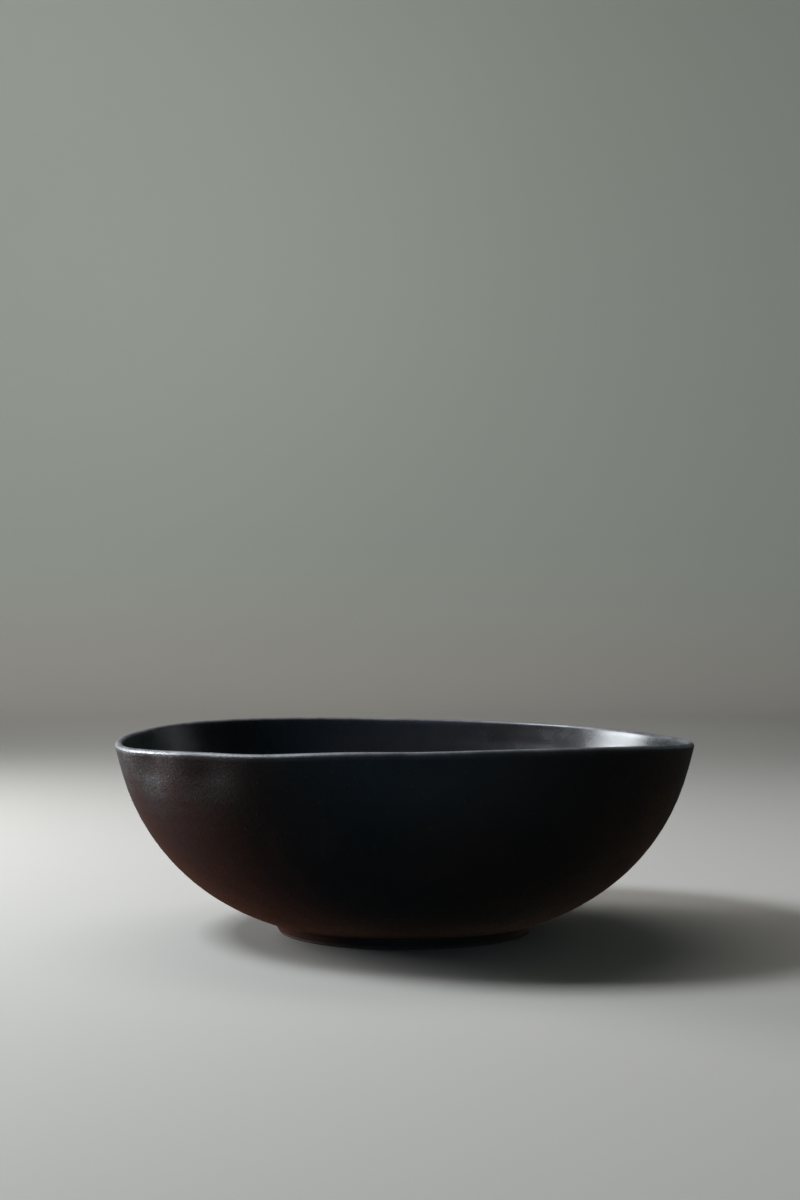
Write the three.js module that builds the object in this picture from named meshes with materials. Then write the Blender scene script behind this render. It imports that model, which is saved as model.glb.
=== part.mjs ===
// A wide hand-thrown stoneware punch bowl: a deep bowl body with a full rounded lip that rises and falls
// gently round the rim, standing on a low foot ring that is luted to its underside.
// Millimetres, +Z up. The origin is the centre of the foot's resting plane, and -Y is the front.
import * as THREE from "three";

// Each face of the wall is a stretch of a superellipse turned about +Z. At a given height its radius is
// reach * (1 - ((level - height) / rise) ** power) ** (1 / power).
const OUTER_WALL = { reach: 163.7, rise: 161, level: 157.9, power: 2.5 };
const INNER_WALL = { reach: 172.6, rise: 315.6, level: 327.5, power: 3.43 };

// The walls end at LIP_LEVEL, where the half-round lip begins. The rim's wave dies out at WAVE_START.
const LIP_LEVEL = 105;
const WAVE_START = 30;
const RIM_WAVES = [
  { perTurn: 1, height: 0.8, crestAt: -140 },
  { perTurn: 2, height: 2.5, crestAt: -70 },
  { perTurn: 3, height: 0.5, crestAt: 30 },
  { perTurn: 4, height: 0.45, crestAt: -38 },
];

// The turned seat under the body, the shallow dome inside it, and the foot ring with its rounded edges.
const SEAT_HEIGHT = 5.65;
const DOME_HEIGHT = 7.2;
const LUTE_GAP = 0.3;
const FOOT_TOP_RADIUS = 72.1;
const FOOT_BASE_RADIUS = 69.6;
const FOOT_WIDTH = 8;
const FOOT_EDGE = 0.9;
const SEAT_MARGIN = 1;
const SEAT_INSIDE = FOOT_BASE_RADIUS - FOOT_WIDTH - SEAT_MARGIN;

// Facets: round the axis, up each wall, over the floor, over the lip, over the dome, and round each edge of
// the foot. The floor's rings take over from the wall's at FLOOR_SHARE of the mouth's radius, and
// WALL_CROWDING, when over 1, packs the wall's rings toward its bottom.
const TURN_STEPS = 64;
const WALL_STEPS = 14;
const FLOOR_STEPS = 5;
const LIP_STEPS = 7;
const DOME_STEPS = 2;
const EDGE_STEPS = 3;
const FLOOR_SHARE = 0.6;
const WALL_CROWDING = 1.5;

const GLAZE = new THREE.MeshStandardMaterial({ color: 0x17191c, roughness: 0.4, metalness: 0 });
const STONEWARE = new THREE.MeshStandardMaterial({ color: 0x2a2422, roughness: 0.75, metalness: 0 });

function wallRadius(wall, height) {
  const depth = (wall.level - height) / wall.rise;
  return wall.reach * (1 - depth ** wall.power) ** (1 / wall.power);
}

function wallHeight(wall, radius) {
  const spread = radius / wall.reach;
  return wall.level - wall.rise * (1 - spread ** wall.power) ** (1 / wall.power);
}

// Heights up a wall from low to high, closer together near the bottom, where the wall bends most.
function wallHeights(low, high) {
  const heights = [];
  for (let i = 0; i < WALL_STEPS; i += 1) {
    heights.push(low + (high - low) * (i / WALL_STEPS) ** WALL_CROWDING);
  }
  return heights;
}

// The underside inside the seat: a dome that is highest under the middle.
function domeHeight(radius) {
  return DOME_HEIGHT - (DOME_HEIGHT - SEAT_HEIGHT) * (radius / SEAT_INSIDE) ** 2;
}

// The body's half section, as (radius, height), from under the middle, over the lip, to the middle of the
// floor.
function bodySection() {
  const lipInside = wallRadius(INNER_WALL, LIP_LEVEL);
  const lipOutside = wallRadius(OUTER_WALL, LIP_LEVEL);
  const floorRadius = lipInside * FLOOR_SHARE;
  const floorEdge = wallHeight(INNER_WALL, floorRadius);
  const points = [];
  for (let i = 0; i <= DOME_STEPS; i += 1) {
    const radius = (SEAT_INSIDE * i) / DOME_STEPS;
    points.push(new THREE.Vector2(radius, domeHeight(radius)));
  }
  for (const height of wallHeights(SEAT_HEIGHT, LIP_LEVEL)) {
    points.push(new THREE.Vector2(wallRadius(OUTER_WALL, height), height));
  }
  const lip = new THREE.Path();
  lip.absarc((lipInside + lipOutside) / 2, LIP_LEVEL, (lipOutside - lipInside) / 2, 0, Math.PI, false);
  points.push(...lip.getPoints(LIP_STEPS));
  for (const height of wallHeights(floorEdge, LIP_LEVEL).reverse()) {
    points.push(new THREE.Vector2(wallRadius(INNER_WALL, height), height));
  }
  for (let i = FLOOR_STEPS - 1; i >= 0; i -= 1) {
    const radius = (floorRadius * i) / FLOOR_STEPS;
    points.push(new THREE.Vector2(radius, wallHeight(INNER_WALL, radius)));
  }
  return points;
}

// The foot ring's section: it leans in a little from the seat to the table, with rounded lower edges.
function footSection() {
  const top = SEAT_HEIGHT - LUTE_GAP;
  const inside = FOOT_BASE_RADIUS - FOOT_WIDTH;
  const section = new THREE.Path();
  section.moveTo(inside, top);
  section.absarc(inside + FOOT_EDGE, FOOT_EDGE, FOOT_EDGE, Math.PI, 1.5 * Math.PI, false);
  section.absarc(FOOT_BASE_RADIUS - FOOT_EDGE, FOOT_EDGE, FOOT_EDGE, 1.5 * Math.PI, 2 * Math.PI, false);
  section.lineTo(FOOT_TOP_RADIUS, top);
  section.closePath();
  return section.getPoints(EDGE_STEPS);
}

// A half section turned about +Z.
function turned(points) {
  return new THREE.LatheGeometry(points, TURN_STEPS).rotateX(Math.PI / 2);
}

// How far the rim stands above its mean height at an azimuth, in radians from +X.
function rimWave(azimuth) {
  let height = 0;
  for (const wave of RIM_WAVES) {
    const turn = azimuth - THREE.MathUtils.degToRad(wave.crestAt);
    height += wave.height * Math.cos(wave.perTurn * turn);
  }
  return height;
}

// Lifts the upper wall and the lip by the rim's wave. The clay keeps to the lean of the outer wall.
function waveRim(geometry) {
  const position = geometry.getAttribute("position");
  const point = new THREE.Vector3();
  for (let i = 0; i < position.count; i += 1) {
    point.fromBufferAttribute(position, i);
    const grip = THREE.MathUtils.smoothstep(point.z, WAVE_START, LIP_LEVEL);
    const lift = grip * rimWave(Math.atan2(point.y, point.x));
    const spread = wallRadius(OUTER_WALL, point.z + lift) / wallRadius(OUTER_WALL, point.z);
    position.setXYZ(i, point.x * spread, point.y * spread, point.z + lift);
  }
  geometry.computeVertexNormals();
  return geometry;
}

function bowlBody() {
  const mesh = new THREE.Mesh(waveRim(turned(bodySection())), GLAZE);
  mesh.name = "bowl_body";
  return mesh;
}

function footRing() {
  const mesh = new THREE.Mesh(turned(footSection()), STONEWARE);
  mesh.name = "foot_ring";
  return mesh;
}

const bowl = new THREE.Group();
bowl.name = "punch_bowl";
bowl.add(bowlBody(), footRing());

export default bowl;
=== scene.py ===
"""The looks of a wide hand-thrown stoneware punch bowl with a satin black glaze.

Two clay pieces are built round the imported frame: the thrown body and the foot ring luted under it.
Metres, +Z up, -Y the front. Azimuths are degrees from +X, anticlockwise seen from above.
"""
import math

import bpy
import numpy as np
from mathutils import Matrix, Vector, noise


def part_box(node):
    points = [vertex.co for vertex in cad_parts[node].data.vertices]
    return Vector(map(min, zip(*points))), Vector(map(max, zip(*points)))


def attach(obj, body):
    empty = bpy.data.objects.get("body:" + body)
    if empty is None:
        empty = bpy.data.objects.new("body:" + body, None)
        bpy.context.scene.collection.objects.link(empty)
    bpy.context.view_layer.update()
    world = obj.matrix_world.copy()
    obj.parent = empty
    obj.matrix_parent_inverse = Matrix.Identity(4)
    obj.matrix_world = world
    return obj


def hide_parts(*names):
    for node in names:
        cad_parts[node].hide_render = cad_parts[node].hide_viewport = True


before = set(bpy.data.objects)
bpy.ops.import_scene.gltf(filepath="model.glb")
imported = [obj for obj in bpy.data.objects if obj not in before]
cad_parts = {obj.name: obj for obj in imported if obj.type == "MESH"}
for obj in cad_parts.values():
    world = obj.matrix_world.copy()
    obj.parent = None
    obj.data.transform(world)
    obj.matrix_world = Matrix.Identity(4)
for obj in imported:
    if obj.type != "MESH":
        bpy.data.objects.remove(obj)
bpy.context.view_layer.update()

MM = 0.001

# The two sizes taken from the frame: the underside of the body's seat, and the top of the foot ring.
SEAT_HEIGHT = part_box("bowl_body")[0].z
FOOT_TOP_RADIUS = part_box("foot_ring")[1].x

# Each face of the wall is a stretch of a superellipse turned about +Z: reach, rise, level and power, as in
# the design. The walls end at LIP_LEVEL, where the half-round lip begins.
OUTER_WALL = (163.7 * MM, 161 * MM, 157.9 * MM, 2.5)
INNER_WALL = (172.6 * MM, 315.6 * MM, 327.5 * MM, 3.43)
LIP_LEVEL = 105 * MM
WAVE_START = 30 * MM

# The underside: a shallow dome inside the seat, and the foot ring with its rounded lower edges. The ring's
# top stays LUTE_GAP under the seat.
DOME_HEIGHT = 7.2 * MM
SEAT_MARGIN = 1 * MM
FOOT_BASE_RADIUS = 69.6 * MM
FOOT_WIDTH = 8 * MM
FOOT_EDGE = 0.9 * MM
FOOT_INSIDE = FOOT_BASE_RADIUS - FOOT_WIDTH
SEAT_INSIDE = FOOT_INSIDE - SEAT_MARGIN
LUTE_GAP = 0.02 * MM

# The glaze stops a little above the table, at a wavering line, and stands proud of the bare clay.
GLAZE_LINE = 1.5 * MM
GLAZE_WAVER = 0.5 * MM
GLAZE_WAVER_SCALE = 4
GLAZE_WAVER_LEVEL = 3.7
GLAZE_FADE = 0.35 * MM
GLAZE_THICKNESS = 0.18 * MM

# The rim's slow wave: waves per turn, height, azimuth of one crest.
RIM_WAVES = (
    (1, 0.8 * MM, -140),
    (2, 2.5 * MM, -70),
    (3, 0.5 * MM, 30),
    (4, 0.45 * MM, -38),
)

# Soft dents left by the hand that lifted the leather-hard bowl: azimuth, half width in degrees, depth, and
# how far up and down each reaches. Each is deepest at DENT_DROP below the lip.
DENTS = (
    (190, 6.0, 0.5 * MM, 18 * MM),
    (214, 4.0, 1.7 * MM, 11 * MM),
    (232, 4.2, 1.7 * MM, 11 * MM),
    (273, 7.0, 1.0 * MM, 13 * MM),
    (318, 8.0, 0.6 * MM, 18 * MM),
    (352, 8.0, 0.5 * MM, 20 * MM),
    (38, 9.5, 0.6 * MM, 22 * MM),
    (81, 8.5, 0.7 * MM, 20 * MM),
    (124, 9.0, 0.6 * MM, 22 * MM),
    (165, 8.0, 0.6 * MM, 20 * MM),
)
DENT_DROP = 8 * MM

# Places where the lip itself sags: azimuth, half width in degrees, and how far.
SAGS = (
    (243, 9.0, 1.25 * MM),
    (273, 7.0, 0.5 * MM),
)

# Throwing rings: the spiral that the fingers leave, deeper inside than outside. On the wall they fade in
# between two radii and fade out below the lip, and on the floor they fade toward the middle and the wall.
RING_SPACING = 8.5 * MM
RING_DEPTH_INSIDE = 0.06 * MM
RING_DEPTH_OUTSIDE = 0.035 * MM
WALL_RING_RADII = (40 * MM, 80 * MM)
WALL_RING_FADE = 12 * MM
FLOOR_RING_START = (4 * MM, 14 * MM)
FLOOR_RING_END = (60 * MM, 95 * MM)

# The wall's slow unevenness, the same on both faces: hills per metre, how far they are stretched in height
# and how deep they are. It fades in between the seat and WOBBLE_TOP.
WOBBLE_SCALE = 17.0
WOBBLE_STRETCH = 0.8
WOBBLE_DEPTH = 0.35 * MM
WOBBLE_TOP = 40 * MM

# The mark "lip" fades in over these heights, counted from LIP_LEVEL.
LIP_MARK = (-0.5 * MM, 1.8 * MM)

# Mesh steps: round the axis, over the lip and each rounded edge, and along each stretch of the sections.
TURN_STEPS = 360
LIP_STEPS = 16
EDGE_STEPS = 6
DOME_STEP = 3 * MM
SEAT_STEP = 2.5 * MM
OUTER_STEP = 1.9 * MM
INNER_STEP = 2.1 * MM
FOOT_STEP = 0.35 * MM

# Points on each curve before it is cut into even steps, and the share of the mouth that counts as floor.
DOME_POINTS = 30
OUTER_POINTS = 400
INNER_POINTS = 300
FLOOR_SHARE = 0.8


# ---------------------------------------------------------------- shape


def wall_radius(wall, height):
    reach, rise, level, power = wall
    depth = (level - np.asarray(height)) / rise
    return reach * (1 - depth**power) ** (1 / power)


def wall_height(wall, radius):
    reach, rise, level, power = wall
    return level - rise * (1 - (np.asarray(radius) / reach) ** power) ** (1 / power)


def smoothstep(value, low, high):
    t = np.clip((value - low) / (high - low), 0, 1)
    return t * t * (3 - 2 * t)


def even_steps(points, step):
    """The polyline resampled at nearly even steps along its length."""
    points = np.asarray(points, float)
    along = np.concatenate([[0], np.cumsum(np.hypot(*np.diff(points, axis=0).T))])
    count = max(2, round(along[-1] / step) + 1)
    spots = np.linspace(0, along[-1], count)
    return np.column_stack([np.interp(spots, along, points[:, k]) for k in (0, 1)])


def body_section():
    """(radius, height) rows from under the middle over the lip to the middle of the floor, and each row's
    share of outside: 1 on the outer wall, 0 on the inner wall, in between round the lip."""
    lip_inside = wall_radius(INNER_WALL, LIP_LEVEL)
    lip_outside = wall_radius(OUTER_WALL, LIP_LEVEL)
    lip_middle, lip_half = (lip_inside + lip_outside) / 2, (lip_outside - lip_inside) / 2
    seat_outside = wall_radius(OUTER_WALL, SEAT_HEIGHT)
    across_dome = np.linspace(0, SEAT_INSIDE, DOME_POINTS)
    dome = DOME_HEIGHT + (SEAT_HEIGHT - DOME_HEIGHT) * (across_dome / SEAT_INSIDE) ** 2
    rising = SEAT_HEIGHT + (LIP_LEVEL - SEAT_HEIGHT) * np.linspace(0, 1, OUTER_POINTS) ** 2
    over = np.linspace(0, math.pi, LIP_STEPS + 1)[1:-1]
    floor_radius = lip_inside * FLOOR_SHARE
    falling = np.linspace(LIP_LEVEL, wall_height(INNER_WALL, floor_radius), INNER_POINTS)
    inward = np.linspace(floor_radius, 0, INNER_POINTS)[1:]
    inner_radius = np.concatenate([wall_radius(INNER_WALL, falling), inward])
    inner_height = np.concatenate([falling, wall_height(INNER_WALL, inward)])
    under = [
        even_steps(np.column_stack([across_dome, dome]), DOME_STEP),
        even_steps([(SEAT_INSIDE, SEAT_HEIGHT), (seat_outside, SEAT_HEIGHT)], SEAT_STEP)[1:-1],
        even_steps(np.column_stack([wall_radius(OUTER_WALL, rising), rising]), OUTER_STEP),
    ]
    under = np.concatenate(under)
    lip = np.column_stack([lip_middle + lip_half * np.cos(over), LIP_LEVEL + lip_half * np.sin(over)])
    within = even_steps(np.column_stack([inner_radius, inner_height]), INNER_STEP)
    outside = np.concatenate([np.ones(len(under)), np.linspace(1, 0, len(lip)), np.zeros(len(within))])
    return np.concatenate([under, lip, within]), outside


def round_hill(azimuth, centre, half_width):
    """1 at the centre, falling off to both sides. centre and half_width are in degrees."""
    away = np.angle(np.exp(1j * (azimuth - math.radians(centre))))
    return np.exp(-0.5 * (away / math.radians(half_width)) ** 2)


def rim_wave(azimuth):
    """How far the rim stands above its mean height at each azimuth, sags included."""
    total = np.zeros_like(azimuth)
    for per_turn, height, crest in RIM_WAVES:
        total += height * np.cos(per_turn * (azimuth - math.radians(crest)))
    for centre, half_width, depth in SAGS:
        total -= depth * round_hill(azimuth, centre, half_width)
    return total


def dent_depth(azimuth, below_lip):
    """How far the wall is pushed in at each azimuth and each distance below the lip."""
    total = np.zeros(np.broadcast(azimuth, below_lip).shape)
    for centre, half_width, depth, reach in DENTS:
        profile = np.exp(-(((below_lip - DENT_DROP) / reach) ** 2))
        total += depth * round_hill(azimuth, centre, half_width) * profile
    return total


def hand_wobble(x, y, z):
    """How far the thrown wall stands out at each point. x, y and z have one shape."""
    spots = np.stack([x, y, z * WOBBLE_STRETCH], axis=-1) * WOBBLE_SCALE
    hills = [noise.noise(Vector(spot)) for spot in spots.reshape(-1, 3)]
    return np.reshape(hills, x.shape) * WOBBLE_DEPTH


def turned_faces(steps, rows, closed):
    """Faces over the vertices that row_values lays out."""
    if closed:
        return [
            (i * rows + j, (i + 1) % steps * rows + j, (i + 1) % steps * rows + (j + 1) % rows,
             i * rows + (j + 1) % rows)
            for i in range(steps) for j in range(rows)
        ]
    between = rows - 2
    first, last = steps * between, steps * between + 1
    faces = []
    for i in range(steps):
        here, there = i * between, (i + 1) % steps * between
        faces.append((first, there, here))
        faces.append((last, here + between - 1, there + between - 1))
        faces += [(here + j, there + j, there + j + 1, here + j + 1) for j in range(between - 1)]
    return faces


def row_values(grid, closed):
    """The grid's values, azimuth by azimuth. An open section's two ends, on the axis, come once, last."""
    if closed:
        return grid.reshape(-1, *grid.shape[2:])
    between = grid[:, 1:-1].reshape(-1, *grid.shape[2:])
    return np.concatenate([between, grid[0, :1], grid[0, -1:]])


def turned_mesh(name, radius, azimuth, height, closed):
    """A mesh of a section turned about +Z. radius, azimuth and height broadcast to (azimuths, rows). An
    open section starts and ends on the axis, and a closed one joins its last row to its first."""
    points = np.broadcast_arrays(radius * np.cos(azimuth), radius * np.sin(azimuth), height)
    points = np.stack(points, axis=2)
    steps, rows = points.shape[:2]
    mesh = bpy.data.meshes.new(name)
    mesh.from_pydata(row_values(points, closed).tolist(), [], turned_faces(steps, rows, closed))
    mesh.validate()
    mesh.shade_smooth()
    mesh.update()
    piece = bpy.data.objects.new(name, mesh)
    bpy.context.scene.collection.objects.link(piece)
    return piece


def add_mark(piece, name, values, closed):
    """A number for each vertex, which the materials read. values broadcasts to (azimuths, rows)."""
    grid = np.broadcast_to(values, (TURN_STEPS, np.shape(values)[-1]))
    layer = piece.data.attributes.new(name, "FLOAT", "POINT")
    layer.data.foreach_set("value", row_values(grid, closed).astype(np.float32))


def turn(steps):
    """Azimuths for one turn in radians, as a column."""
    return np.linspace(0, 2 * math.pi, steps, endpoint=False)[:, None]


def throwing_rings(radius, height, outside, azimuth):
    """How far the fingers' spiral moves the clay outward on the wall, and upward on the floor."""
    wall_depth = outside * RING_DEPTH_OUTSIDE + (1 - outside) * RING_DEPTH_INSIDE
    wall_depth = wall_depth * smoothstep(radius, *WALL_RING_RADII)
    wall_depth = wall_depth * smoothstep(LIP_LEVEL - height, 0, WALL_RING_FADE)
    floor_share = (1 - outside) * (1 - smoothstep(radius, *FLOOR_RING_END))
    floor_share = floor_share * smoothstep(radius, *FLOOR_RING_START)
    on_wall = np.cos(2 * math.pi * height / RING_SPACING - azimuth) * wall_depth * (1 - floor_share)
    on_floor = np.cos(2 * math.pi * radius / RING_SPACING - azimuth) * RING_DEPTH_INSIDE * floor_share
    return on_wall, on_floor


def build_body():
    section, outside = body_section()
    azimuth = turn(TURN_STEPS)
    radius, height = section.T
    push = dent_depth(azimuth, np.maximum(LIP_LEVEL - height, 0))
    lift = smoothstep(height, WAVE_START, LIP_LEVEL) * rim_wave(azimuth)
    lean = wall_radius(OUTER_WALL, height + lift) / wall_radius(OUTER_WALL, height)
    ring_out, ring_up = throwing_rings(radius, height, outside, azimuth)
    new_radius = radius * lean - push + ring_out
    new_height = height + lift + ring_up
    wobble = hand_wobble(new_radius * np.cos(azimuth), new_radius * np.sin(azimuth), new_height)
    new_radius = new_radius + wobble * smoothstep(height, SEAT_HEIGHT, WOBBLE_TOP)
    piece = turned_mesh("bowl_body_glazed", new_radius, azimuth, new_height, False)
    add_mark(piece, "lip", smoothstep(height - LIP_LEVEL, *LIP_MARK), False)
    add_mark(piece, "outside", outside, False)
    return piece


def foot_section():
    """(radius, height) rows round the foot ring: down its inside, over its lower edges and up again."""
    top = SEAT_HEIGHT - LUTE_GAP
    quarter = np.linspace(0, math.pi / 2, EDGE_STEPS + 1)
    cos, sin = FOOT_EDGE * np.cos(quarter), FOOT_EDGE * np.sin(quarter)
    inner_edge = np.column_stack([FOOT_INSIDE + FOOT_EDGE - cos, FOOT_EDGE - sin])
    outer_edge = np.column_stack([FOOT_BASE_RADIUS - FOOT_EDGE + sin, FOOT_EDGE - cos])
    outline = [(FOOT_INSIDE, top), *inner_edge, *outer_edge, (FOOT_TOP_RADIUS, top), (FOOT_INSIDE, top)]
    return even_steps(outline, FOOT_STEP)[:-1]


def glaze_line(azimuth):
    """The height at which the glaze stops on the foot, at each azimuth."""
    spots = np.column_stack([np.cos(azimuth), np.sin(azimuth)]) * GLAZE_WAVER_SCALE
    waver = [[noise.noise(Vector((x, y, GLAZE_WAVER_LEVEL)))] for x, y in spots]
    return GLAZE_LINE + GLAZE_WAVER * np.array(waver)


def build_foot():
    azimuth = turn(TURN_STEPS)
    radius, height = foot_section().T
    line = glaze_line(azimuth)
    glazed = smoothstep(height, line, line + GLAZE_FADE)
    side = np.sign(radius - (FOOT_BASE_RADIUS - FOOT_WIDTH / 2))
    new_radius = radius + side * (glazed - 1) * GLAZE_THICKNESS
    piece = turned_mesh("foot_ring_turned", new_radius, azimuth, height, True)
    add_mark(piece, "glazed", glazed, True)
    return piece


# ---------------------------------------------------------------- materials


class Nodes:
    """Short calls for building the nodes of one material or world."""

    def __init__(self, owner, coordinate, shader):
        owner.use_nodes = True
        self.tree = owner.node_tree
        self.shader = self.tree.nodes[shader]
        self.point = self.tree.nodes.new("ShaderNodeTexCoord").outputs[coordinate]

    def link(self, source, target):
        self.tree.links.new(source, target)

    def noise(self, scale, detail, roughness=0.5, distortion=0.0):
        node = self.tree.nodes.new("ShaderNodeTexNoise")
        node.inputs["Scale"].default_value = scale
        node.inputs["Detail"].default_value = detail
        node.inputs["Roughness"].default_value = roughness
        node.inputs["Distortion"].default_value = distortion
        self.link(self.point, node.inputs["Vector"])
        return node.outputs["Fac"]

    def dots(self, scale):
        """The distance to the nearest of many scattered points."""
        node = self.tree.nodes.new("ShaderNodeTexVoronoi")
        node.inputs["Scale"].default_value = scale
        node.inputs["Randomness"].default_value = 1.0
        self.link(self.point, node.inputs["Vector"])
        return node.outputs["Distance"]

    def mark(self, name):
        """A number stored at the vertices by add_mark."""
        node = self.tree.nodes.new("ShaderNodeAttribute")
        node.attribute_name = name
        return node.outputs["Fac"]

    def spread(self, value, low, high, to_low=0.0, to_high=1.0):
        """A smooth step from to_low at low to to_high at high."""
        node = self.tree.nodes.new("ShaderNodeMapRange")
        node.interpolation_type = "SMOOTHSTEP"
        numbers = {"From Min": low, "From Max": high, "To Min": to_low, "To Max": to_high}
        for slot, number in numbers.items():
            node.inputs[slot].default_value = number
        self.link(value, node.inputs["Value"])
        return node.outputs["Result"]

    def maths(self, operation, first, second):
        node = self.tree.nodes.new("ShaderNodeMath")
        node.operation = operation
        for socket, value in zip(node.inputs, (first, second)):
            if isinstance(value, (int, float)):
                socket.default_value = value
            else:
                self.link(value, socket)
        return node.outputs[0]

    def facing(self, direction):
        """How far the point lies along a direction. For a world, it is the cosine between them."""
        node = self.tree.nodes.new("ShaderNodeVectorMath")
        node.operation = "DOT_PRODUCT"
        node.inputs[1].default_value = Vector(direction).normalized()
        self.link(self.point, node.inputs[0])
        return node.outputs["Value"]

    def mix(self, share, first, second, blend="MIX"):
        node = self.tree.nodes.new("ShaderNodeMix")
        node.data_type = "RGBA"
        node.blend_type = blend
        sockets = (node.inputs[0], node.inputs[6], node.inputs[7])
        for socket, value in zip(sockets, (share, first, second)):
            if isinstance(value, tuple):
                socket.default_value = (*value, 1)
            elif isinstance(value, float):
                socket.default_value = value
            else:
                self.link(value, socket)
        return node.outputs[2]

    def bump(self, height, depth, below=None):
        """The normal, roughened by a height from 0 to 1 and laid over the normal below."""
        node = self.tree.nodes.new("ShaderNodeBump")
        node.inputs["Strength"].default_value = 1.0
        node.inputs["Distance"].default_value = depth
        self.link(height, node.inputs["Height"])
        if below is not None:
            self.link(below, node.inputs["Normal"])
        return node.outputs["Normal"]


def new_material(name):
    material = bpy.data.materials.new(name)
    return material, Nodes(material, "Object", "Principled BSDF")


# The glaze drifts between two blacks and has iron specks. The lip's grey is thin glaze and a painted
# highlight.
BLUE_BLACK = (0.0024, 0.0044, 0.0072)
BROWN_BLACK = (0.0115, 0.0056, 0.0058)
IRON_SPECK = (0.055, 0.042, 0.036)
LIP_BREAK_AND_HIGHLIGHT = (0.150, 0.140, 0.150)

# The foot's bare base.
BARE_CLAY = (0.060, 0.043, 0.034)
DARK_CLAY = (0.036, 0.026, 0.021)
CLAY_GRIT = (0.155, 0.125, 0.100)

# Texture scales, in features per metre.
DRIFT_SCALE = 9.0
PATCH_SCALE = 26.0
LIP_BREAK_AND_HIGHLIGHT_SCALE = 60.0
CLOUD_SCALE = 70.0
PIN_GROUP_SCALE = 90.0
CLAY_SCALE = 120.0
SPECK_GROUP_SCALE = 160.0
PEEL_SCALE = 230.0
PIN_SCALE = 330.0
SPECK_SCALE = 420.0
CLAY_WEAR_SCALE = 700.0
GRAIN_SCALE = 800.0
GRIT_SCALE = 900.0
CLAY_TOOTH_SCALE = 1300.0

# Strengths: the most that the clouds, the specks and the grit cover, and the least that the lip's grey,
# thin glaze and painted highlight together, covers.
CLOUD_STRENGTH = 0.35
SPECK_STRENGTH = 0.75
GRIT_STRENGTH = 0.8
LIP_BREAK_AND_HIGHLIGHT_LEAST = 0.35

# Roughness: its base on each side, what the lip adds, and what patches and grain add and take away.
ROUGHNESS_OUTSIDE = 0.41
ROUGHNESS_INSIDE = 0.29
LIP_ROUGHER = 0.10
PATCH_ROUGHNESS = (-0.045, 0.05)
GRAIN_ROUGHNESS = (-0.09, 0.09)
CLAY_ROUGHNESS = (0.70, 0.92)

# Depths of the relief. Inside, grain and peel are only TOOTH_INSIDE as strong as outside.
PEEL_DEPTH = 0.07 * MM
GRAIN_DEPTH = 0.16 * MM
PIN_DEPTH = 0.12 * MM
CLAY_TOOTH_DEPTH = 0.25 * MM
TOOTH_INSIDE = 0.15

GLAZE_IOR = 1.5


def glaze_parts(n, base_roughness, tooth):
    """The glaze's colour, roughness and normal, as sockets. tooth scales its fine grain and its peel."""
    drift = n.spread(n.noise(DRIFT_SCALE, detail=4.0, roughness=0.55), 0.38, 0.66)
    colour = n.mix(drift, BLUE_BLACK, BROWN_BLACK)
    cloud = n.spread(n.noise(CLOUD_SCALE, detail=5.0, roughness=0.6), 0.45, 0.75, 0.0, CLOUD_STRENGTH)
    colour = n.mix(cloud, colour, BROWN_BLACK)
    speck = n.spread(n.dots(SPECK_SCALE), 0.10, 0.19, SPECK_STRENGTH, 0.0)
    speck = n.maths("MULTIPLY", speck, n.spread(n.noise(SPECK_GROUP_SCALE, detail=2.0), 0.52, 0.62))
    colour = n.mix(speck, colour, IRON_SPECK)
    grain = n.noise(GRAIN_SCALE, detail=3.0, roughness=0.7)
    peel = n.noise(PEEL_SCALE, detail=3.0, roughness=0.5)
    patches = n.noise(PATCH_SCALE, detail=4.0, roughness=0.6, distortion=0.3)
    patches = n.spread(patches, 0.35, 0.70, *PATCH_ROUGHNESS)
    fine = n.maths("MULTIPLY", n.spread(grain, 0.3, 0.7, *GRAIN_ROUGHNESS), tooth)
    roughness = n.maths("ADD", n.maths("ADD", patches, fine), base_roughness)
    pin = n.spread(n.dots(PIN_SCALE), 0.03, 0.11, 1.0, 0.0)
    pin = n.maths("MULTIPLY", pin, n.spread(n.noise(PIN_GROUP_SCALE, detail=2.0), 0.55, 0.62))
    normal = n.bump(n.maths("MULTIPLY", peel, tooth), PEEL_DEPTH)
    normal = n.bump(n.maths("MULTIPLY", grain, tooth), GRAIN_DEPTH, normal)
    normal = n.bump(n.maths("SUBTRACT", 1.0, pin), PIN_DEPTH, normal)
    return colour, roughness, normal


def black_glaze():
    """Satin black glaze: smoother inside than outside; the lip's grey is thin glaze and a painted
    highlight.
    """
    material, n = new_material("satin_black_glaze")
    outside, lip = n.mark("outside"), n.mark("lip")
    base_roughness = n.spread(outside, 0.0, 1.0, ROUGHNESS_INSIDE, ROUGHNESS_OUTSIDE)
    tooth = n.spread(outside, 0.0, 1.0, TOOTH_INSIDE, 1.0)
    colour, roughness, normal = glaze_parts(n, base_roughness, tooth)
    roughness = n.maths("ADD", roughness, n.maths("MULTIPLY", lip, LIP_ROUGHER))
    # The lip's grey is partly the glaze breaking thin and partly a painted highlight of the lip's sheen.
    break_and_highlight = n.spread(n.noise(LIP_BREAK_AND_HIGHLIGHT_SCALE, detail=4.0, roughness=0.6), 0.3, 0.7, LIP_BREAK_AND_HIGHLIGHT_LEAST, 1.0)
    colour = n.mix(n.maths("MULTIPLY", lip, break_and_highlight), colour, LIP_BREAK_AND_HIGHLIGHT)
    n.link(colour, n.shader.inputs["Base Color"])
    n.link(roughness, n.shader.inputs["Roughness"])
    n.link(normal, n.shader.inputs["Normal"])
    n.shader.inputs["IOR"].default_value = GLAZE_IOR
    return material


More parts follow.
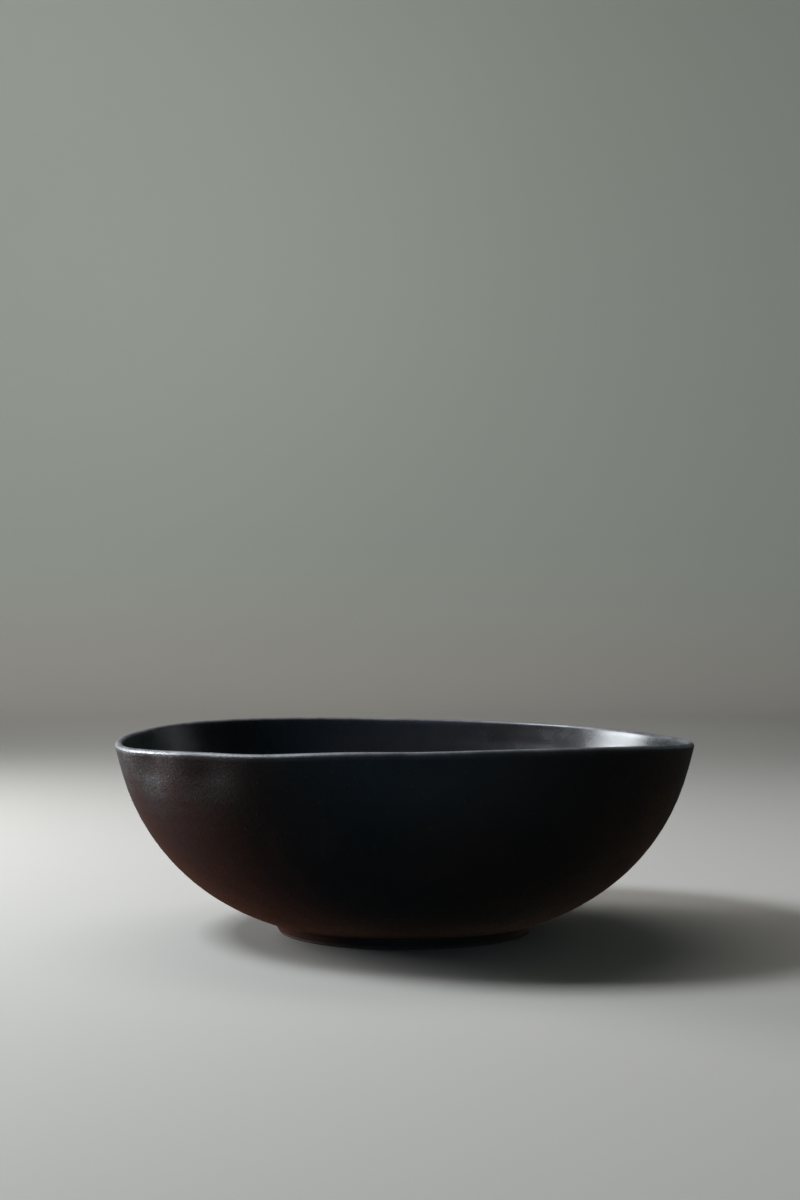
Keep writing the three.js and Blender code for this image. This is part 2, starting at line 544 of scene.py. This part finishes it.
def foot_stoneware():
    """The same glaze over the foot's sides, and bare gritty clay below the line where it stops."""
    material, n = new_material("dark_stoneware_foot")
    colour, roughness, normal = glaze_parts(n, ROUGHNESS_OUTSIDE, 1.0)
    glazed = n.mark("glazed")
    bare = n.maths("SUBTRACT", 1.0, glazed)
    darker = n.spread(n.noise(CLAY_SCALE, detail=5.0, roughness=0.65), 0.35, 0.7)
    grit = n.spread(n.dots(GRIT_SCALE), 0.12, 0.26, GRIT_STRENGTH, 0.0)
    clay = n.mix(grit, n.mix(darker, BARE_CLAY, DARK_CLAY), CLAY_GRIT)
    clay_roughness = n.spread(n.noise(CLAY_WEAR_SCALE, detail=3.0), 0.3, 0.7, *CLAY_ROUGHNESS)
    glaze_share = n.maths("MULTIPLY", roughness, glazed)
    clay_share = n.maths("MULTIPLY", clay_roughness, bare)
    clay_tooth = n.maths("MULTIPLY", n.noise(CLAY_TOOTH_SCALE, detail=4.0, roughness=0.7), bare)
    n.link(n.mix(glazed, clay, colour), n.shader.inputs["Base Color"])
    n.link(n.maths("ADD", glaze_share, clay_share), n.shader.inputs["Roughness"])
    n.link(n.bump(clay_tooth, CLAY_TOOTH_DEPTH, normal), n.shader.inputs["Normal"])
    n.shader.inputs["IOR"].default_value = GLAZE_IOR
    return material


# ---------------------------------------------------------------- stage

# The paper room: the radius of its flat floor, the radius of its bend, and its height. The floor lies
# FLOOR_GAP below the foot, so that the two faces never coincide. The colour changes from the floor's to
# the backdrop's on the way up to COLOUR_CHANGE_TOP.
FLAT_FLOOR = 2.2
BEND = 1.2
CEILING = 3.5
FLOOR_GAP = 0.1 * MM
ROOM_STEPS = 96
BEND_STEPS = 24
FLOOR_COLOUR = (0.40, 0.37, 0.34)
BACKDROP_COLOUR = (0.35, 0.375, 0.33)
COLOUR_CHANGE_TOP = 0.35
PAPER_ROUGHNESS = 0.8
PAPER_SPECULAR = 0.2


def stage_material():
    material, n = new_material("pale_paper")
    rising = n.spread(n.facing((0, 0, 1)), 0.0, COLOUR_CHANGE_TOP)
    n.link(n.mix(rising, FLOOR_COLOUR, BACKDROP_COLOUR), n.shader.inputs["Base Color"])
    n.shader.inputs["Roughness"].default_value = PAPER_ROUGHNESS
    n.shader.inputs["Specular IOR Level"].default_value = PAPER_SPECULAR
    return material


def build_stage():
    """A round floor that bends up into a backdrop all round and closes overhead, in one sheet of paper.
    The glaze doesn't mirror it: it mirrors the dim world that build_world makes."""
    angle = np.linspace(0, math.pi / 2, BEND_STEPS + 1)
    bend = np.column_stack([FLAT_FLOOR + BEND * np.sin(angle), BEND - BEND * np.cos(angle)])
    section = np.array([(0, 0), *bend, (FLAT_FLOOR + BEND, CEILING), (0, CEILING)])
    radius, height = section.T
    room = turned_mesh("paper_room", radius, turn(ROOM_STEPS), height - FLOOR_GAP, False)
    room.data.materials.append(stage_material())
    room.visible_glossy = False


# Soft panels: name, place, what each aims at, width and height, power in watts, colour, and its spread in
# degrees. Two windows stand at the left, one low and one high. The fill is cool and comes from the front,
# the card stands behind at the right, and the wash lights the backdrop and not the bowl.
BOWL_MIDDLE = (0, 0, 0.07)
BACKDROP_MIDDLE = (-0.3, 3.3, 1.0)
PANELS = (
    ("window", (-1.18, 0.56, 0.37), BOWL_MIDDLE, (0.44, 0.58), 25, (0.91, 0.955, 1.0), 180),
    ("upper_window", (-0.87, 0.03, 1.16), BOWL_MIDDLE, (0.42, 0.42), 22, (0.82, 0.92, 1.0), 180),
    ("overhead", (-0.10, 0.50, 1.45), BOWL_MIDDLE, (1.2, 0.7), 6.5, (0.95, 0.97, 1.0), 180),
    ("fill", (-0.45, -1.75, 0.50), BOWL_MIDDLE, (0.8, 0.5), 1.2, (0.50, 0.73, 1.0), 180),
    ("card", (1.3, 0.9, 0.45), BOWL_MIDDLE, (0.5, 0.7), 0.6, (0.9, 0.97, 1.0), 180),
    ("wash", (-1.3, 1.0, 1.8), BACKDROP_MIDDLE, (0.8, 0.8), 19, (0.98, 0.99, 1.0), 110),
)


def area_light(name, place, aim, size, power, colour, spread):
    data = bpy.data.lights.new(name, "AREA")
    data.shape = "RECTANGLE"
    data.size, data.size_y = size
    data.energy = power
    data.color = colour
    data.spread = math.radians(spread)
    light = bpy.data.objects.new(name, data)
    light.location = place
    light.rotation_euler = (Vector(aim) - Vector(place)).to_track_quat("-Z", "Y").to_euler()
    light.visible_camera = False
    bpy.context.scene.collection.objects.link(light)


def build_lights():
    for panel in PANELS:
        area_light(*panel)


# The dim world that the glaze mirrors: a warm table low down, a wall above it and a cool front. Each glow
# has a direction, the cosine at which it starts, its colour, and whether it lies below the table's far
# edge, above it, or both. TABLE_EDGE is the sines between which below turns into above.
ROOM_DARK = (0.010, 0.018, 0.018)
TABLE_EDGE = (-0.26, -0.12)
ROOM_GLOWS = (
    ((-0.80, 0.60, 0.00), 0.35, (0.22, 0.070, 0.038), "below"),
    ((0.40, 0.90, 0.00), 0.30, (0.04, 0.015, 0.006), "below"),
    ((-0.60, 0.80, 0.10), 0.20, (0.09, 0.105, 0.09), "above"),
    ((0.00, -0.98, 0.20), 0.20, (0.060, 0.125, 0.175), "both"),
)


def build_world():
    world = bpy.data.worlds.new("room")
    n = Nodes(world, "Generated", "Background")
    low, high = TABLE_EDGE
    rising = n.facing((0, 0, 1))
    gates = {"above": n.spread(rising, low, high), "below": n.spread(rising, low, high, 1.0, 0.0)}
    colour = ROOM_DARK
    for direction, start, glow, where in ROOM_GLOWS:
        share = n.spread(n.facing(direction), start, 1.0)
        if where in gates:
            share = n.maths("MULTIPLY", share, gates[where])
        colour = n.mix(share, colour, glow, "ADD")
    n.link(colour, n.shader.inputs["Color"])
    bpy.context.scene.world = world


# The camera is low and nearly level, a little over a metre in front of the bowl.
CAMERA_PLACE = (-0.0025, -1.107, 0.178)
CAMERA_TURNED_UP = 0.2
LENS = 60
SENSOR = 36


def build_camera():
    data = bpy.data.cameras.new("camera")
    data.lens = LENS
    data.sensor_width = SENSOR
    data.dof.use_dof = False
    camera = bpy.data.objects.new("camera", data)
    camera.location = CAMERA_PLACE
    camera.rotation_euler = (math.radians(90 + CAMERA_TURNED_UP), 0, 0)
    bpy.context.scene.collection.objects.link(camera)
    bpy.context.scene.camera = camera


def main():
    build_camera()
    body = build_body()
    body.data.materials.append(black_glaze())
    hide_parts("bowl_body")
    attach(body, "root")

    foot = build_foot()
    foot.data.materials.append(foot_stoneware())
    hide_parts("foot_ring")
    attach(foot, "root")

    build_stage()
    build_lights()
    build_world()
    bpy.context.scene.view_settings.view_transform = "Standard"


main()
